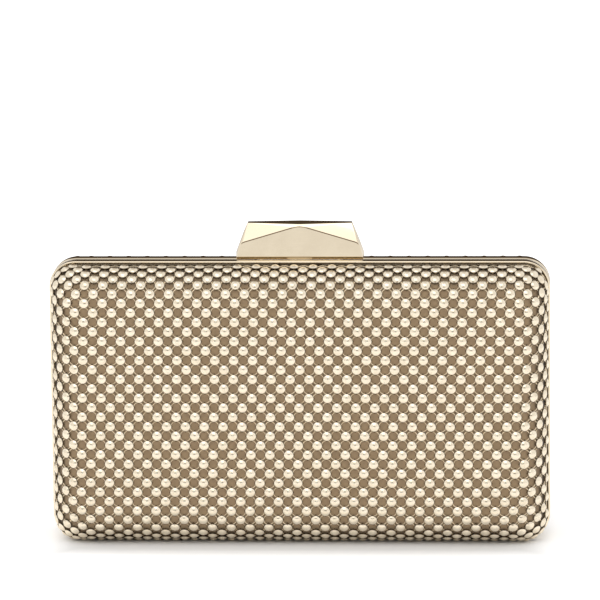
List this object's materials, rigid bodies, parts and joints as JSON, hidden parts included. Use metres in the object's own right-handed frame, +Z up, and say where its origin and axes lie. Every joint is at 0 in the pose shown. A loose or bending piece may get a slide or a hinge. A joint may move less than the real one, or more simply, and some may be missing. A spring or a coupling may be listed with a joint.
{
  "type": "box clutch evening bag",
  "caption": "Hard-shell box clutch: two moulded halves in a gilt frame, covered in studded metal mesh, hinged below and closed by a faceted bar clasp on top.",
  "frame": {"origin": "centre of the bag's footprint, on the surface it stands on, in the plane of the seam", "axes": "+X along the bag's width, to the right as seen from the front; +Y from the front to the back; +Z up. The front faces -Y"},
  "size_m": [0.201, 0.046, 0.1282],
  "materials": {
    "polished_gilt": "polished pale gold plate",
    "studded_mesh": "bright pale gold anodised domes",
    "taupe_cloth": "matt woven cloth",
    "moulded_shell": "moulded",
    "satin_lining": "satin lining",
    "hinge_steel": "drawn steel wire and pins"
  },
  "bodies": {
    "rear_half": {"rear_frame": "polished_gilt", "rear_mesh_cover": "studded_mesh", "rear_backing_fabric": "taupe_cloth", "rear_shell": "moulded_shell", "rear_lining": "satin_lining", "slip_pocket": "satin_lining", "pocket_binding": "satin_lining", "hinge_rear_leaf_left": "polished_gilt", "hinge_rear_leaf_right": "polished_gilt", "hinge_pin_left": "hinge_steel", "hinge_pin_right": "hinge_steel", "clasp_base": "polished_gilt", "clasp_pivot_pin": "hinge_steel", "clasp_spring": "hinge_steel", "clasp_rivet_left": "polished_gilt", "clasp_rivet_right": "polished_gilt"},
    "front_half": {"front_frame": "polished_gilt", "front_mesh_cover": "studded_mesh", "front_backing_fabric": "taupe_cloth", "front_shell": "moulded_shell", "front_lining": "satin_lining", "hinge_front_leaf_left": "polished_gilt", "hinge_front_leaf_right": "polished_gilt", "latch_catch": "hinge_steel"},
    "clasp": {"clasp_bar": "polished_gilt", "clasp_hook": "hinge_steel"}
  },
  "joints": [
    {"name": "bag_opening", "type": "hinge", "parent": "rear_half", "child": "front_half", "pos_m": [0, 0, 0.00185], "axis": [1, 0, 0], "range_deg": [0, 75]},
    {"name": "clasp_tilt", "type": "hinge", "parent": "rear_half", "child": "clasp", "pos_m": [0, 0.0068, 0.1166], "axis": [-1, 0, 0], "range_deg": [0, 20], "stiffness_Nm_per_rad": 0.05, "springref_deg": -20.05}
  ]
}
